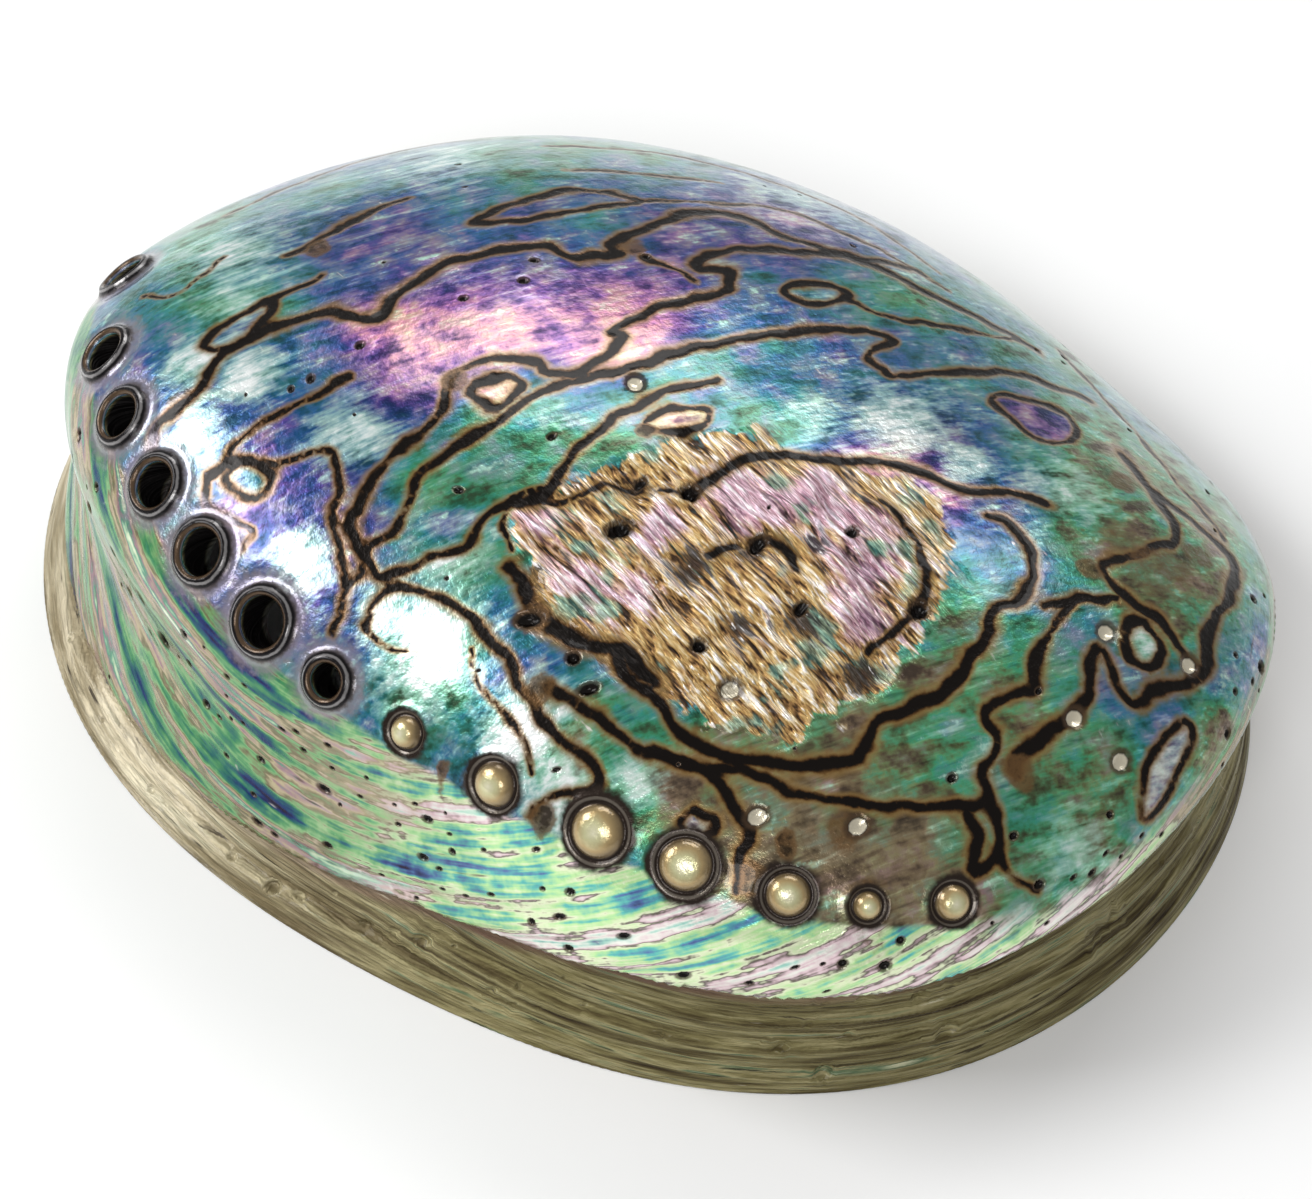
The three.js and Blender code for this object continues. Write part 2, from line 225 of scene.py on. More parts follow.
# Dark contour lines: half width, then the points that each runs through.
LINES = {
    "top": (0.75, [
        (-49, -27.5), (-49, -25), (-46.5, -21.5), (-45.5, -16), (-42.5, -11.5), (-39, -7.5), (-36.5, -5.5),
        (-33.5, -6.5), (-31.5, -4.5), (-31, 0.5), (-28.5, 6), (-23.5, 11), (-19, 14), (-15.5, 13.5),
        (-11.5, 16.5), (-12.5, 19), (-10, 24.5), (-7.5, 29.5), (-4, 32.5), (4, 32), (11.5, 34), (17, 37.5)
    ]),
    "ribbon": (0.65, [
        (34.5, 36), (23.5, 34.5), (11.5, 33.5), (6.5, 30), (0.5, 25.5), (-2.5, 21.5), (-2, 19), (1, 20.5),
        (2.5, 18.5), (1.5, 15.5), (-3, 9.5), (-5.5, 3.5), (-4, 3), (-5.5, -3), (-7.5, -5), (-10, -5.5),
        (-11, -4.5), (-14.5, -6), (-19.5, -10.5), (-18, -14), (-18.5, -19), (-21, -24.5), (-21.5, -29.5),
        (-21.5, -32.5), (-18.5, -35.5), (-18.5, -39), (-19, -43)
    ]),
    "twin": (0.5, [
        (-19, -38.5), (-20.5, -36), (-24, -31.5), (-24.5, -28.5), (-27.5, -25), (-29, -25.5), (-31.5, -27),
        (-38.5, -28.5), (-40, -30.5), (-38.5, -33.5), (-32.5, -35), (-32.5, -37)
    ]),
    "blue_band": (0.45, [(-39.5, -30.5), (-38.5, -26), (-36, -23), (-33.5, -20), (-30, -15)]),
    "tongue": (0.65, [
        (-18.5, -34), (-16, -30.5), (-16.5, -25), (-14.5, -20.5), (-11.5, -15), (-8.5, -8.5), (-3, -2.5),
        (2.5, 4.5), (9, 11.5), (15, 18), (21.5, 22), (20.5, 17), (22.5, 16), (25, 16), (34, 26.5),
        (42.5, 31.5)
    ]),
    "tongue_low": (0.6, [
        (-18.5, -34), (-17.5, -35.5), (-15.5, -36.5), (-9, -32), (-7.5, -30.5), (-7, -26.5), (-2.5, -22.5),
        (-2, -16.5), (0, -9.5), (3.5, -3), (8, 2.5)
    ]),
    "scar_top": (0.7, [
        (12, -15.5), (13, -13), (15.5, -7.5), (19.5, -4.5), (23.5, -3), (30.5, 1), (37.5, 1.5),
        (42.5, 4.5), (46.5, 5.5)
    ]),
    "scar_round": (0.7, [
        (42, -0.5), (44, 0), (47, -2), (49.5, -6), (49.5, -10), (47.5, -13), (48.5, -16.5), (47.5, -20.5),
        (47, -24.5), (44, -29), (41.5, -32), (41.5, -35.5), (41, -37.5), (36, -40.5), (31.5, -42),
        (25.5, -43), (19.5, -41), (13, -38)
    ]),
    "scar_crack": (0.45, [(-3.5, -23), (0, -22), (3, -18.5), (7, -16.5), (11, -16)]),
    "scar_left": (0.35, [(-3, -30), (-5.5, -26.5), (-4.5, -23), (-1.5, -20)]),
    "scar_foot": (0.9, [(-2, -32), (1.5, -34.5), (4, -36.5), (8.5, -37.5), (14, -37), (18, -38.5)]),
    "scar_deep": (0.5, [(17, -22), (20, -18), (24, -17), (27, -19.5)]),
    "scar_far": (0.45, [(31, -6), (35, -7.5), (39.5, -13), (40, -19), (37.5, -25)]),
    "bay": (0.7, [
        (49.5, 23), (54.5, 19), (59.5, 14), (59.5, 9.5), (56, 2), (56, -0.5), (59.5, -2), (63.5, -2),
        (66.5, -4), (69.5, -4.5)
    ]),
    "bay_wave": (0.6, [(52, -9), (54, -7.5), (55.5, -5), (58, -3)]),
    "right_wall": (0.8, [
        (55, 19), (61.5, 17.5), (66, 16), (68, 10), (68, 1.5), (69.5, -3), (68.5, -7.5), (66, -11),
        (64.5, -14.5), (62, -12.5), (59, -10.5), (59, -13), (60.5, -17), (58, -23.5), (56.5, -28),
        (56.5, -29.5)
    ]),
    "middle": (0.65, [
        (57.5, -4), (55, -6), (54, -11), (54, -15.5), (55, -19.5), (52.5, -22.5), (51.5, -25), (54, -27),
        (53.5, -31), (55, -33.5), (51, -37), (43, -41), (37.5, -43), (31, -43.5), (26.5, -45),
        (20.5, -45.5)
    ]),
    "lower_left": (0.55, [
        (-15.5, -41.5), (-15.5, -39), (-12.5, -37), (-6, -37.5), (-0.5, -40), (6.5, -45), (11, -47.5),
        (16.5, -49), (16.5, -51), (11.5, -52.5), (10.5, -54)
    ]),
    "gold_short": (0.3, [(-15, -42), (-12, -43), (-8.5, -43)]),
    "gold_long": (0.35, [(-2, -41.5), (0.5, -45), (6.5, -48), (9, -51)]),
    "lower_middle": (0.7, [
        (8, -43.5), (14.5, -44.5), (19.5, -46), (27, -45.5), (33, -48), (34, -50.5), (34.5, -53.5)
    ]),
    "fork": (0.6, [(55.5, -33.5), (58, -37), (56.5, -40.5), (55.5, -37), (53.5, -35.5)]),
    "fork_foot": (0.5, [(58, -37), (60, -38.5), (63, -37.5)]),
    "upper_left": (0.5, [(-46.5, 2.5), (-44.5, 7), (-42, 13.5), (-38.5, 18)]),
    "left_teal": (0.3, [(-61, -7.5), (-56, -6.5), (-54.5, 1)]),
    "blue_tail": (0.45, [(-44.5, -6), (-42.5, -3), (-41, 0)]),
    "ring_tail": (0.4, [(15, 24.5), (19.5, 25.5), (25.5, 29.5), (33, 35.5)]),
    "high": (0.35, [(-14, 29), (-6, 34.5), (1, 39), (9, 39), (16, 38.5), (22.5, 37.5)]),
    "top_thin": (0.3, [(-24.5, 31.5), (-19, 35), (-8.5, 41)]),
    "smear": (0.4, [(-8.5, 17.5), (-4.5, 17.5), (-1, 16.5)]),
    "back_long": (0.4, [(-60, 12), (-50, 30), (-36, 44), (-20, 53), (0, 55)]),
    "back_low": (0.4, [(-30, 38), (-14, 47), (4, 47), (20, 41)]),
    "back_right": (0.5, [(36, 40), (46, 33), (56, 25), (64, 19)]),
}
# Closed outlines, each with the colour phase and the whiteness of the patch inside it.
ISLANDS = {
    "blue": (0.44, 0.35, [(-48, -15.5), (-49, -14), (-47, -10), (-44.5, -6), (-43.5, -10.5), (-45, -14.5)]),
    "left_light": (0.36, 0.35, [
        (-38, -30.5), (-37.5, -28.5), (-36, -28), (-33, -28.5), (-32, -30), (-33, -31.5), (-35.5, -32)
    ]),
    "middle_light": (0.8, 0.1, [
        (-16, -12), (-15.5, -10), (-13, -8.5), (-11.5, -9), (-12, -13), (-14.5, -13)
    ]),
    "pale_and_highlight": (0.9, 0.3, [(4, -8.5), (4, -6), (7, -3.5), (9.5, -3), (9, -5.5), (7, -8)]),
    "purple": (0.5, 0.0, [(34.5, 20), (38, 23.5), (41.5, 24.5), (44.5, 21.5), (43.5, 17.5), (40.5, 16.5)]),
    "ring": (0.3, 0.2, [(8, 21), (9.5, 24), (12.5, 26), (14.5, 25.5), (13, 22.5), (10.5, 20.5)]),
    "top_violet": (0.42, 0.0, [(-29, 15.5), (-25, 22.5), (-20.5, 27.5), (-14, 29), (-19.5, 22), (-25, 17)]),
    "eye": (0.18, 0.6, [(61, -7.5), (61, -4), (63, -4), (65, -6.5), (64.5, -9.5), (62.5, -9.5)]),
    "pink_oval": (0.62, 0.5, [
        (69, -22), (68.5, -17.5), (69.5, -12.5), (71, -12), (71.5, -16), (71, -21.5), (70, -23.5)
    ]),
    "small_pink": (0.64, 0.5, [(26.5, -50.5), (27.5, -49), (30, -49.5), (29.5, -51.5), (27.5, -51.5)]),
}
# The green tongue lies between two of the lines.
TONGUE = LINES["tongue"][1][:9] + [(12, 12), (11, 7)] + LINES["tongue_low"][1][:0:-1]
SCAR = [
    (-5.5, -25), (-1.5, -20), (2.5, -15), (5.5, -11.5), (9, -6.5), (15, -2), (21.5, -2.5), (31.5, 0),
    (37.5, -3), (42, -10.5), (42.5, -19), (42, -26), (38.5, -32.5), (35, -38), (29, -41), (23.5, -41),
    (17.5, -40), (12, -39), (5.5, -39), (0.5, -35), (-3, -30),
]

# Rosy and dark parts of the scar, with their radii.
ROSY = [(33, -12, 6), (18, -13, 5), (8, -31, 5.5), (-1, -25, 4), (24, -9, 4), (36, -22, 4), (11, -21, 3)]
DARK = [
    (16, -24, 3), (24, -29, 2.5), (21, -19, 2.6), (30, -25, 3), (6, -16.5, 2.5), (0, -33, 3), (38, -28, 3),
    (12, -38, 3), (27, -15, 1.8),
]
# Soft brown stains, with their radii.
STAINS = [
    (56, 7, 3.2), (62, 7, 3), (54, -1, 1.6), (57, -29, 2), (38, -48, 1.4), (43, -44, 2), (48, -49, 3),
    (36, -52, 1.6), (-1, -52, 0.8), (-10, 19, 1.8), (-18.5, -11, 1.8), (4, -9, 1.2), (60, 3, 3.4),
    (12, -54, 1.4), (3, -37, 1.8), (7, -44, 1.6), (-44, 5, 1.6), (52, 17, 1.8), (63, 12, 2.2),
]
# Pale cups with dark rims, dark holes in the scar, and dark holes elsewhere.
CUPS = [
    (59, -8), (68, -5), (66, -21), (65, -18.5), (63, -21), (60, -20), (49, -45), (34, -47), (44, -47),
    (44, -43), (26, -36), (0, -3),
]
SCAR_HOLES = [
    (6.5, -16), (21.5, -18), (7, -23), (21, -33), (26, -37.5), (2.5, -37), (9, -39.5), (12, -42),
    (30, -11.5), (12, -15), (10.5, -25.5), (29, -23.5), (40.5, -17.5),
]
HOLES = [
    (-34, -16.5), (-31, -10), (-35.5, -18.5), (-46, -25), (-19, 11), (-18.5, 7), (-23.5, 1.5), (-8, 18),
    (-51, -19), (-5, -14.5), (-11.5, -25), (55.5, -19.5), (59, -35), (51, -33.5), (67, -26.5), (73, -3),
    (74, -8), (74, 4), (71.5, 1.5), (70, 12.5), (46, -52.5), (51, -51.5), (40, -55.5), (56, -46),
    (63, -37), (47, -49),
]
# Soft patches of colour: x, y, radius, colour phase and weight.
PATCHES = [
    (-16, 6, 9, 0.54, 1), (-24, -6, 8, 0.66, 1.2), (-7, 3, 7, 0.76, 1), (-26, 22, 8, 0.32, 1),
    (-36, 4, 8, 0.46, 1), (-47, -7, 7, 0.22, 1), (-35, -17, 7, 0.4, 1), (-27, -33, 6, 0.52, 1),
    (-29, -38, 5, 0.46, 1), (-10, -23, 6, 0.2, 1.4), (-6, -12, 6, 0.17, 1.4), (4, 35, 8, 0.5, 1),
    (19, 29, 7, 0.16, 1), (-5, 27, 7, 0.44, 1), (6, 17, 6, 0.4, 1), (21, 14, 8, 0.43, 1),
    (27, 25, 6, 0.28, 1), (18, 7, 7, 0.22, 1), (7, 0, 6, 0.3, 1), (50, 15, 8, 0.06, 1),
    (51, -3, 6, 0.3, 1), (50, -17, 5, 0.13, 1), (49, -30, 5, 0.18, 1), (60, -25, 6, 0.09, 1),
    (66, -13, 5, 0.3, 1), (70, 3, 5, 0.3, 1), (73, -11, 3, 0.1, 1.4), (43, -38, 6, 0.02, 1.6),
    (39, -46, 6, -0.03, 2), (49, -43, 6, -0.02, 2), (30, -48, 5, 0.0, 1.5), (60, 3, 6, 0.0, 1.5),
    (64, -33, 4, 0.1, 1), (18, -47, 4, 0.15, 1), (-52, -15, 7, 0.36, 1), (-63, 0, 8, 0.26, 1),
    (-50, 25, 12, 0.3, 1), (-30, 45, 12, 0.2, 1), (30, 3, 6, 0.68, 1.2), (5, 52, 12, 0.34, 1),
    (30, 42, 9, 0.2, 1), (60, 15, 7, 0.1, 1), (40, 8, 7, 0.38, 1),
]
# Painted highlights, soft white patches: x, y, radius and strength.
PAINTED_HIGHLIGHTS = [
    (-54, 2, 7, 0.7), (-48, -17, 4, 0.8), (-41, -18, 4, 0.8), (-44, -26, 4, 0.7), (-25, -37, 4, 0.8),
    (-7, -42, 6, 1), (-26, -22, 5, 0.7), (28, 8, 7, 0.7), (21, -49, 3, 0.7), (7, -48, 5, 1),
    (47, 9, 5, 0.6), (37, 6, 4, 0.6), (20, 3, 4, 0.5), (66, -32, 4, 0.5), (13, -52, 4, 0.8),
    (-48, -7, 5, 0.5), (-9, -33, 4, 0.7), (-14, -39, 4, 0.7), (-40, 30, 8, 0.5), (0, 45, 8, 0.4),
]

# ---- The two skins, with pores, beads and pits cut into their triangles ----------

RIM_POINTS, PORE_SIDES, TUBE_RINGS = 730, 48, 5
OUTER_SPACING, INNER_SPACING, CURVE_SPACING = 0.66, 1.8, 0.4
BEAD_RADII = [1.9, 2.5, 3.0, 2.9, 2.4, 1.6, 2.0]
CUP_RADIUS, CUP_DEPTH = 1.15, 0.5


def grain(points, size, layer=0):
    """Smooth noise from -1 to 1 whose features have the given size."""
    return np.array([noise.noise(Vector(point)) for point in points / size + 17.3 * layer])


def smooth(value, low, high):
    share = np.clip((value - low) / (high - low), 0, 1)
    return share * share * (3 - 2 * share)


def through(points):
    """A smooth curve through points, sampled evenly enough to measure distances from it."""
    points = np.array(points, float)
    ends = np.vstack([2 * points[0] - points[1], points, 2 * points[-1] - points[-2]])
    pieces = []
    for a, b, c, d in zip(ends, ends[1:], ends[2:], ends[3:]):
        count = max(int(np.linalg.norm(c - b) / CURVE_SPACING), 2)
        t = np.linspace(0, 1, count, endpoint=False)[:, None]
        pieces.append(0.5 * (2 * b + (c - a) * t + (2 * a - 5 * b + 4 * c - d) * t**2
                             + (3 * b - a - 3 * c + d) * t**3))
    return np.vstack(pieces + [points[-1:]])


class Finder:
    """Finds the place on a surface's disc that lies over a given point in plan."""

    def __init__(self, surface):
        self.surface = surface
        flat = lattice(surface, 3.0, 0.5)
        top = surface.from_disc(flat)[1] < 1.02
        self.flat = flat[top]
        self.plan = surface.lift(self.flat)[:, :2]

    def __call__(self, plan):
        plan = np.atleast_2d(np.array(plan, float))
        gaps = np.linalg.norm(plan[:, None] - self.plan[None], axis=2)
        flat = self.flat[gaps.argmin(1)].copy()
        for _ in range(6):
            here = self.surface.lift(flat)[:, :2]
            right = (self.surface.lift(flat + [SLOPE_STEP, 0])[:, :2] - here) / SLOPE_STEP
            ahead = (self.surface.lift(flat + [0, SLOPE_STEP])[:, :2] - here) / SLOPE_STEP
            miss = plan - here
            size = right[:, 0] * ahead[:, 1] - right[:, 1] * ahead[:, 0]
            size = np.where(np.abs(size) < 0.05, 0.05, size)
            move = np.stack([miss[:, 0] * ahead[:, 1] - miss[:, 1] * ahead[:, 0],
                             right[:, 0] * miss[:, 1] - right[:, 1] * miss[:, 0]], -1) / size[:, None]
            length = np.linalg.norm(move, axis=1, keepdims=True)
            flat = flat + move * np.minimum(1, 2 / np.maximum(length, TINY))
        return flat


def cluster(surface, middle, rings, stretch=1.0):
    """Rings of points about a middle, each given as radius, count and turn. No radius means the middle."""
    parts = [surface.ring(middle, *ring, stretch) if ring[0] else middle[None] for ring in rings]
    return {"middle": middle, "reach": rings[-1][0] * stretch, "points": np.vstack(parts)}


def skin(surface, spacing, clusters, rim, edge, holes):
    """A triangulated disc with holes. Its points start with the rim's, then each hole's."""
    field = lattice(surface, spacing, 0)
    angle = np.arctan2(field[:, 1], field[:, 0])
    length = np.hypot(field[:, 0], field[:, 1])
    free = np.ones(len(field), bool)
    for loop in (rim, edge):
        turn = np.arctan2(loop[:, 1], loop[:, 0])
        gap = length - np.interp(angle, turn, np.hypot(loop[:, 0], loop[:, 1]), period=2 * np.pi)
        free &= (np.abs(gap) > spacing * 0.5) & ((gap < 0) | (loop is edge))
    for part in clusters:
        near = np.nonzero(np.linalg.norm(field - part["middle"], axis=1) < part["reach"] * 2.5 + 2)[0]
        slopes = surface.frame_at(part["middle"])[0]
        away = np.linalg.norm((field[near] - part["middle"]) @ slopes.T, axis=1)
        free[near[away < part["reach"] + spacing * 0.5]] = False
    borders = [rim, *holes]
    points = np.vstack([*borders, edge, *[part["points"] for part in clusters], field[free]])
    border = np.full(len(points), -1)
    edges = []
    start = 0
    for number, loop in enumerate(borders):
        last = start + len(loop)
        border[start:last] = number
        edges += [(i, i + 1 if i + 1 < last else start) for i in range(start, last)]
        start = last
    result = geometry.delaunay_2d_cdt([Vector(p) for p in points], edges, [], 0, 1e-6)
    assert len(result[0]) == len(points), "the triangulation added or merged points"
    source = np.array([origin[0] for origin in result[3]])
    faces = source[np.array(result[2])]
    sides = border[faces]
    outside = (sides[:, 0] >= 0) & (sides[:, 0] == sides[:, 1]) & (sides[:, 1] == sides[:, 2])
    return points, faces[~outside]


def vertex_normals(places, faces):
    corners = places[faces]
    turned = np.cross(corners[:, 1] - corners[:, 0], corners[:, 2] - corners[:, 0])
    normals = np.zeros_like(places)
    for corner in range(3):
        np.add.at(normals, faces[:, corner], turned)
    return normals / np.linalg.norm(normals, axis=1, keepdims=True)


outer = Surface(outer_surface)
inner = Surface(inner_surface)
find = Finder(outer)

turns = np.arange(RIM_POINTS) * 2 * np.pi / RIM_POINTS
pores = [(math.radians(direction), pore_along(direction)) for direction in PORE_ANGLES]
open_pores = pores[: len(OPEN_RADII)]
beads = pores[len(OPEN_RADII) :]

outer_holes, inner_holes, clusters, inner_clusters = [], [], [], []
for (angle, along), radius in zip(open_pores, OPEN_RADII):
    middle = outer.to_disc(angle, along)
    outer_holes.append(outer.ring(middle, radius, PORE_SIDES))
    clusters.append(cluster(outer, middle, [(radius + gap, PORE_SIDES, 0.065 * (step % 2)) for step, gap in
                                            enumerate((0.25, 0.5, 0.8, 1.1, 1.5, 1.9, 2.4))]))
    middle = inner.to_disc(angle, along)
    inner_holes.append(inner.ring(middle, radius, PORE_SIDES))
    inner_clusters.append(cluster(inner, middle, [(radius + 0.6, PORE_SIDES, 0), (radius + 1.4, 32, 0)]))
for (angle, along), radius in zip(beads, BEAD_RADII):
    reaches = [0] + [radius * share for share in (0.25, 0.5, 0.72, 0.9, 1.0)]
    reaches += [radius + gap for gap in (0.35, 0.7, 1.1, 1.5, 1.9)]
    counts = [0, 8, 16, 24, 30, 36, 36, 36, 40, 40, 44]
    clusters.append(cluster(outer, outer.to_disc(angle, along),
                            [(reach, count, 0.07 * (step % 2)) for step, (reach, count)
                             in enumerate(zip(reaches, counts))]))


def pit_rings(radius):
    """A small hollow: its middle, two rings inside it, its brim and a ring outside."""
    return [(0, 0, 0), (radius * 0.5, 7, 0), (radius * 0.85, 9, 0.2), (radius, 9, 0), (radius * 1.4, 10, 0.3)]


# Pits, each a place on the disc, a radius, a depth and a stretch. First the placed ones.
wanted = [(spot, CUP_RADIUS, CUP_DEPTH, 1.2) for spot in find(CUPS)]
wanted += [(spot, random.uniform(0.6, 1.2), 1.1, random.uniform(1, 1.8)) for spot in find(SCAR_HOLES)]
wanted += [(spot, random.uniform(0.35, 0.65), 0.9, random.uniform(1, 1.5)) for spot in find(HOLES)]
# Scattered down the flank: two directions, how far down from the pores, how many and the largest.
for low, high, inner_share, outer_share, count, largest in [
    (200, 245, 0.1, 0.6, 90, 0.75), (245, 285, 0.25, 0.9, 26, 0.5), (285, 345, 0.2, 0.9, 34, 0.6),
]:
    for _ in range(count):
        angle = math.radians(random.uniform(low, high))
        start = pore_along(min(math.degrees(angle), 329))
        share = inner_share + (outer_share - inner_share) * random.rand() ** 1.8
        spot = outer.to_disc(angle, start + (0.985 - start) * share)
        radius = 0.2 + (largest - 0.2) * random.rand() ** 1.6
        wanted.append((spot, radius, 0.9, random.uniform(1, 2.4)))
# Scattered on the band: two directions and how many. Then scattered over the dome.
for low, high, count in [(225, 330, 50), (330, 400, 14), (160, 225, 8)]:
    for _ in range(count):
        spot = outer.to_disc(math.radians(random.uniform(low, high)), random.uniform(1.12, 1.85))
        wanted.append((spot, random.choice([0.25, 0.3, 0.4, 0.5, 0.9]), 0.8, random.uniform(1, 2.8)))
for _ in range(70):
    spot = outer.to_disc(random.uniform(0, 2 * math.pi), math.sqrt(random.uniform(0.02, 0.93)))
    wanted.append((spot, random.uniform(0.18, 0.33), 0.7, random.uniform(1, 2)))

pits = []
for spot, radius, depth, stretch in wanted:
    reach = radius * 1.4 * stretch
    crowded = any(np.linalg.norm(spot - part["middle"]) < reach + part["reach"] * 1.15 + 0.5
                  for part in clusters)
    here = np.hypot(*spot)
    angle = math.atan2(spot[1], spot[0])
    edge_gap = abs(here - np.hypot(*outer.to_disc(angle, 1.0)))
    foot_gap = np.hypot(*outer.to_disc(angle, 2.0)) - here
    if crowded or edge_gap < reach + 0.7 or foot_gap < reach + 0.7:
        continue
    pits.append((spot, radius, depth, stretch))
    clusters.append(cluster(outer, spot, pit_rings(radius), stretch))

flat, faces = skin(outer, OUTER_SPACING, clusters, outer.to_disc(turns, 2.0),
                   outer.to_disc(turns, 1.0), outer_holes)
inner_flat, inner_faces = skin(inner, INNER_SPACING, inner_clusters, inner.to_disc(turns, 2.0),
                               inner.to_disc(turns[::2], 1.0), inner_holes)
places = outer.lift(flat)
inner_places = inner.lift(inner_flat)
normals = vertex_normals(places, faces)
angles, alongs = outer.from_disc(flat)
# ---- Marks measured on the outside ----------


def inside_outline(plan, outline):
    """Whether each point in plan is inside a closed outline."""
    inside = np.zeros(len(plan), bool)
    x, y = plan.T
    for (ax, ay), (bx, by) in zip(outline, np.roll(outline, -1, 0)):
        crosses = (ay > y) != (by > y)
        inside ^= crosses & (x < (bx - ax) * (y - ay) / (by - ay + TINY) + ax)
    return inside


def closed(points):
    """A smooth closed outline through points."""
    repeated = int(np.linalg.norm(np.subtract(points[1], points[0])) / CURVE_SPACING)
    return through(points + points[:3])[:-1][repeated:]


def gaps(curve, query):
    """The distance from each query point to the nearest sample of a curve on the surface."""
    tree = kdtree.KDTree(len(curve))
    for index, point in enumerate(curve):
        tree.insert(point, index)
    tree.balance()
    return np.array([tree.find(point)[2] for point in query])


def near_curve(curve, reach):
    """Which vertices lie in the box round a curve, grown by a reach."""
    low, high = curve.min(0) - reach, curve.max(0) + reach
    return np.nonzero(((places > low) & (places < high)).all(1))[0]


def soft_spot(points, x, y, radius):
    """A soft spot of height 1 round a place in plan."""
    return np.exp(-((points[:, 0] - x) ** 2 + (points[:, 1] - y) ** 2) / radius**2)


def ridge(distance, middle, width):
    """A soft ridge of height 1 where a distance has its middle value."""
    return np.exp(-(((distance - middle) / width) ** 2))


def draw_line(points, half_width):
    """Draws a line of the given half width through points in plan, and returns the vertices near it."""
    curve = outer.lift(find(points))
    chosen = near_curve(curve, LINE_REACH)
    line[chosen] = np.minimum(line[chosen], gaps(curve, wavy[chosen]) / (half_width * swell[chosen]))
    return chosen


# The lines wander a little and swell, except at the polished edge.
LINE_REACH = 6
FAR = 9.0
wobble = np.zeros_like(places)
for axis in (0, 1):
    wobble[:, axis] = 0.75 * grain(places, 3.1, 20 + axis) + 0.22 * grain(places, 1.1, 22 + axis)
wavy = places + wobble * (alongs < 0.99)[:, None]
swell = 1 + 0.45 * grain(places, 5.0, 1)

# How far each vertex is from the nearest line, in that line's half widths.
LINE_SHARE, ISLAND_HALF_WIDTH = 0.9, 0.48
line = np.full(len(places), 8.0)
for half_width, points in LINES.values():
    draw_line(through(points), LINE_SHARE * half_width)

# The colour phase, and the whiteness: white patches painted as highlights plus the islands' own paleness.
PLAIN_PHASE, PLAIN_WEIGHT = 0.3, 0.05
phase = np.full(len(places), PLAIN_PHASE * PLAIN_WEIGHT)
weight = np.full(len(places), PLAIN_WEIGHT)
for x, y, radius, value, strength in PATCHES:
    share = strength * soft_spot(places, x, y, radius)
    phase += value * share
    weight += share
phase /= weight
whiteness_and_highlight = np.zeros(len(places))
for x, y, radius, strength in PAINTED_HIGHLIGHTS:
    whiteness_and_highlight = np.maximum(whiteness_and_highlight, strength * soft_spot(wavy, x, y, radius))
for value, whiteness, points in ISLANDS.values():
    outline = closed(points)
    chosen = draw_line(outline, ISLAND_HALF_WIDTH)
    filled = chosen[inside_outline(wavy[chosen, :2], outline)]
    phase[filled] = value
    whiteness_and_highlight[filled] = whiteness
filled = inside_outline(wavy[:, :2], closed(TONGUE))
phase[filled] = 0.1 + 0.5 * phase[filled]
whiteness_and_highlight[filled] *= 0.5

# Stains, and the scar with its rosy and dark parts.
stain = np.zeros(len(places))
for x, y, radius in STAINS:
    away = np.hypot(wavy[:, 0] - x, wavy[:, 1] - y) / radius
    stain = np.maximum(stain, (1 - smooth(away, 0.6, 1.4)) * min(1, 1.5 / radius))
rosy, dark = [sum(soft_spot(wavy, *place) for place in spots) for spots in (ROSY, DARK)]
scar_outline = closed(SCAR)
scar_curve = outer.lift(find(scar_outline))
scar_gap = np.full(len(places), FAR)
chosen = near_curve(scar_curve, 4)
scar_gap[chosen] = gaps(scar_curve, places[chosen])
in_scar = inside_outline(places[:, :2], scar_outline) & (alongs < 0.9)
ragged = 2.2 * grain(places, 4.0, 2) + 1.2 * grain(places, 1.6, 2)
scar = smooth(np.where(in_scar, scar_gap, -scar_gap) + ragged, -0.8, 2.6)
scar[alongs > 0.95] = 0

# The flank outside the row of pores, and the band below the polished edge.
row_directions = np.linspace(172, 329, 80)
degrees = np.degrees(angles) % 360
row = np.interp(degrees, row_directions, [pore_along(direction) for direction in row_directions])
flank = smooth(alongs - row, 0.02, 0.07) * smooth(degrees, 168, 184) * (1 - smooth(degrees, 318, 338))
band = (alongs > 1.0001).astype(float)
band_share = np.clip(alongs - 1, 0, 1)
length = np.hypot(flat[:, 0], flat[:, 1])

# The dome undulates gently, growth lines run round its sides and the scar is fibrous.
lift = 0.3 * grain(places, 24, 3) + 0.1 * grain(places, 8, 4)
slant = math.radians(-24)
fibre_along = places[:, 0] * math.cos(slant) + places[:, 1] * math.sin(slant)
fibre_across = places[:, 1] * math.cos(slant) - places[:, 0] * math.sin(slant) + 1.6 * grain(places, 11, 5)
fibre = grain(np.stack([fibre_along / 5.5, fibre_across / 1.25, 0 * fibre_along], -1), 1.0, 6)
lift += scar * (0.7 * fibre + 0.4 * grain(places, 4.5, 7) - 0.5 * np.minimum(dark, 1) - 0.1)
side = smooth(alongs, 0.5, 0.98) * (alongs <= 1)
growth = np.sin(2 * np.pi * (length / 4.6 + 0.5 * grain(places, 26, 8)))
lift += (0.05 + 0.14 * flank) * side * growth
height = places[:, 2] + 1.4 * grain(places, 22, 9)
lamina = np.sin(2 * np.pi * height / 4.2) * 0.3 + np.sin(2 * np.pi * height / 1.9 + 1) * 0.14
lift += band * lamina * np.sin(np.pi * band_share) ** 0.5

